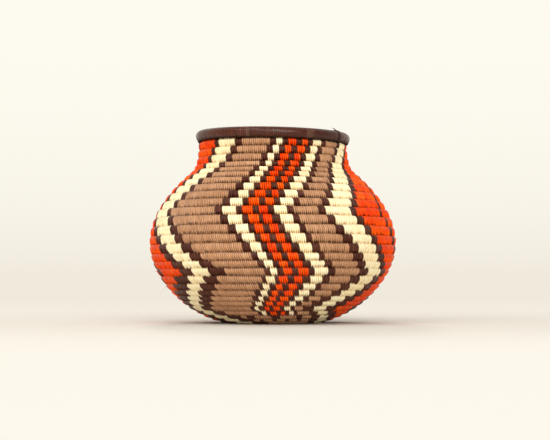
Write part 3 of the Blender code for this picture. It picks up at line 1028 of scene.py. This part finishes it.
# Stage: a pale floor, which away from the basket takes on the shades of a lit paper sweep, from
# front to back, and far off those of the backdrop. The backdrop's colours go by the slope of
# the line of sight.
FLOOR_RADIUS = 6.0
FLOOR_SIDES = 64
FLOOR_ROUGHNESS = 0.9
FLOOR_GLINT = 0.1
FLOOR_COLOUR = (0.880, 0.861, 0.824)
FADE_START = 0.17
FADE_END = 0.42
FLOOR_FRONT = -0.65
HORIZON_BLEND = (1.2, 2.4)
FAR_FLOOR_COLOURS = (
    (0.00, (0.992, 0.975, 0.925)),
    (0.45, (0.988, 0.969, 0.918)),
    (0.71, (0.971, 0.947, 0.897)),
    (0.93, (0.956, 0.932, 0.878)),
    (1.55, (0.941, 0.917, 0.864)),
    (3.50, (0.941, 0.918, 0.866)),
)

# Light from all round: its strength level with the floor and overhead, and the part of it,
# from front to back, where gloss shows the backdrop instead
AMBIENT_COLOUR = (1.0, 0.985, 0.96)
AMBIENT_STRENGTHS = (0.35, 0.78)
GLOSS_CHANGE = (-0.2, 0.4)
BACKDROP_COLOURS = (
    (0.000, (0.941, 0.918, 0.866)),
    (0.018, (0.957, 0.937, 0.890)),
    (0.048, (0.973, 0.957, 0.912)),
    (0.092, (0.988, 0.973, 0.930)),
    (0.150, (0.994, 0.981, 0.940)),
)

# Lamps, turned towards the middle of the basket: place, width and height, power and colour
LAMP_AIM = (0.0, 0.0, 0.06)
LAMPS = {
    "key": ((-0.85, -1.25, 0.62), (0.9, 0.9), 3.2, (1.0, 0.99, 0.965)),
    "strip": ((-0.30, -0.95, 1.15), (2.6, 0.06), 9.6, (1.0, 0.99, 0.965)),
    "fill": ((0.25, -1.45, 0.38), (0.9, 0.9), 10.6, (1.0, 0.985, 0.965)),
    "back": ((-0.15, 1.20, 0.80), (0.3, 0.3), 6.5, (1.0, 0.99, 0.97)),
}
LAMP_OUT_OF_GLOSS = "back"

# Camera: fitted to the photograph's frame of 550 by 440 pixels
FRAME_WIDTH = 550
FRAME_HEIGHT = 440
PHOTO_AXIS_X = 272.8
PHOTO_EYE_LEVEL_Y = 276.0
PIXEL_AT_AXIS = 0.0006
CAMERA_DISTANCE = 0.96
CAMERA_HEIGHT = 0.0280
SENSOR_WIDTH = 36.0
CLIP_START = 0.01


def ramp_node(shader, value, stops):
    """Colours laid along a value, which runs from nothing to the last stop."""
    last = stops[-1][0]
    ramp = shader.node("ValToRGB", None, Fac=shader.math("DIVIDE", value, last))
    elements = ramp.color_ramp.elements
    elements[0].color = daylight(stops[0][1])
    elements[0].position = stops[0][0] / last
    elements[1].color = daylight(stops[-1][1])
    for place, colour in stops[1:-1]:
        elements.new(place / last).color = daylight(colour)
    return ramp.outputs[0]


def seen_directly(shader, in_gloss=1.0):
    """One for rays that show a thing to the eye, straight or in gloss, and none for others."""
    ray = shader.node("LightPath").outputs
    seen = shader.math("MAXIMUM", ray["Is Camera Ray"], ray["Is Transmission Ray"])
    return shader.math("MAXIMUM", seen, shader.math("MULTIPLY", ray["Is Glossy Ray"], in_gloss))


def make_stage():
    """A wide pale floor, which takes the basket's shadow and runs into the backdrop."""
    mesh = bpy.data.meshes.new("paper_floor")
    turns = [TURN * i / FLOOR_SIDES for i in range(FLOOR_SIDES)]
    corners = [(FLOOR_RADIUS * math.cos(t), FLOOR_RADIUS * math.sin(t), 0.0) for t in turns]
    mesh.from_pydata(corners, [], [tuple(range(FLOOR_SIDES))])
    floor = bpy.data.objects.new("paper_floor", mesh)
    bpy.context.scene.collection.objects.link(floor)

    shader = Shader(bpy.data.materials.new("pale_paper"))
    where = shader.node("TexCoord").outputs["Object"]
    away = shader.node("VectorMath", {"operation": "LENGTH"}, _0=where).outputs["Value"]
    depth = shader.node("SeparateXYZ", None, Vector=where).outputs[1]
    depth = shader.math("SUBTRACT", depth, FLOOR_FRONT)
    shader.principled.inputs["Base Color"].default_value = daylight(FLOOR_COLOUR)
    shader.principled.inputs["Roughness"].default_value = FLOOR_ROUGHNESS
    shader.principled.inputs["Specular IOR Level"].default_value = FLOOR_GLINT
    horizon = daylight(BACKDROP_COLOURS[0][1])
    to_horizon = shader.spread(away, *HORIZON_BLEND)
    tint = shader.mix(to_horizon, ramp_node(shader, depth, FAR_FLOOR_COLOURS), horizon)
    glow = shader.node("Emission", None, Color=tint)
    far = shader.spread(away, FADE_START, FADE_END)
    share = shader.math("MULTIPLY", seen_directly(shader), far)
    mixed = shader.node(
        "MixShader", None, _0=share, _1=shader.principled.outputs[0], _2=glow.outputs[0]
    )
    output = shader.tree.nodes["Material Output"]
    shader.feed(output.inputs["Surface"], mixed.outputs[0])
    mesh.materials.append(shader.owner)


def make_lights():
    """Soft lamps in front: a low one at the left, a long strip above and a broad fill.

    A small lamp at the back throws the shade towards the camera. Gloss doesn't show it, because
    its mirror image would draw a white line along the rim.
    """
    for name, (place, size, power, colour) in LAMPS.items():
        lamp = bpy.data.lights.new(name, "AREA")
        lamp.shape = "ELLIPSE"
        lamp.size, lamp.size_y = size
        lamp.energy = power
        lamp.color = colour
        light = bpy.data.objects.new(name, lamp)
        light.location = place
        towards = Vector(LAMP_AIM) - Vector(place)
        light.rotation_euler = towards.to_track_quat("-Z", "Y").to_euler()
        light.visible_glossy = name != LAMP_OUT_OF_GLOSS
        bpy.context.scene.collection.objects.link(light)


def make_world():
    """Pale light from all sides, stronger from above, and the backdrop where it is seen.

    Gloss shows the backdrop behind the basket, and the pale light in other directions.
    """
    world = bpy.data.worlds.new("studio")
    bpy.context.scene.world = world
    shader = Shader(world)
    direction = shader.node("TexCoord").outputs["Generated"]
    split = shader.node("SeparateXYZ", None, Vector=direction).outputs
    slope = split[2]
    behind = shader.spread(split[1], *GLOSS_CHANGE)
    backdrop = shader.node("Background", None, Color=ramp_node(shader, slope, BACKDROP_COLOURS))
    ambient = shader.tree.nodes["Background"]
    ambient.inputs["Color"].default_value = daylight(AMBIENT_COLOUR)
    strength = shader.spread(slope, 0.0, 1.0, *AMBIENT_STRENGTHS)
    shader.feed(ambient.inputs["Strength"], strength)
    mixed = shader.node(
        "MixShader", None,
        _0=seen_directly(shader, behind), _1=ambient.outputs[0], _2=backdrop.outputs[0]
    )
    output = shader.tree.nodes["World Output"]
    shader.feed(output.inputs["Surface"], mixed.outputs[0])


def make_camera():
    """Camera at the photograph's viewing angle: low, level with the bowl, tilted up a little."""
    pixels = CAMERA_DISTANCE / PIXEL_AT_AXIS
    camera = bpy.data.cameras.new("camera")
    camera.sensor_width = SENSOR_WIDTH
    camera.lens = SENSOR_WIDTH * pixels / FRAME_WIDTH
    camera.clip_start = CLIP_START
    pitch = math.atan((PHOTO_EYE_LEVEL_Y - FRAME_HEIGHT / 2) / pixels)
    yaw = math.atan((FRAME_WIDTH / 2 - PHOTO_AXIS_X) / pixels)
    eye = bpy.data.objects.new("camera", camera)
    eye.location = (0.0, -CAMERA_DISTANCE, CAMERA_HEIGHT)
    eye.rotation_euler = (math.pi / 2 + pitch, 0.0, -yaw)
    bpy.context.scene.collection.objects.link(eye)
    bpy.context.scene.camera = eye


def main():
    """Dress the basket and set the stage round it."""
    strands = [
        strand_material(
            f"{name}_strand", colours, STRAND_ROUGHNESS, GLINTS[name], FAINTEST_CREASES[name]
        )
        for name, colours in STRANDS.items()
    ]
    wraps = [
        strand_material("rim_strand", RIM_STRAND, *RIM_FINISH),
        strand_material("splice_strand", SPLICE_STRAND, *SPLICE_FINISH),
    ]
    stems = [strand_material("bundle_stem", BUNDLE_STEM, *STEM_FINISH)]
    dress_coil(strands, stems)
    dress_rim(wraps, stems)
    make_stage()
    make_lights()
    make_world()
    make_camera()
    bpy.context.scene.view_settings.view_transform = "Standard"


main()
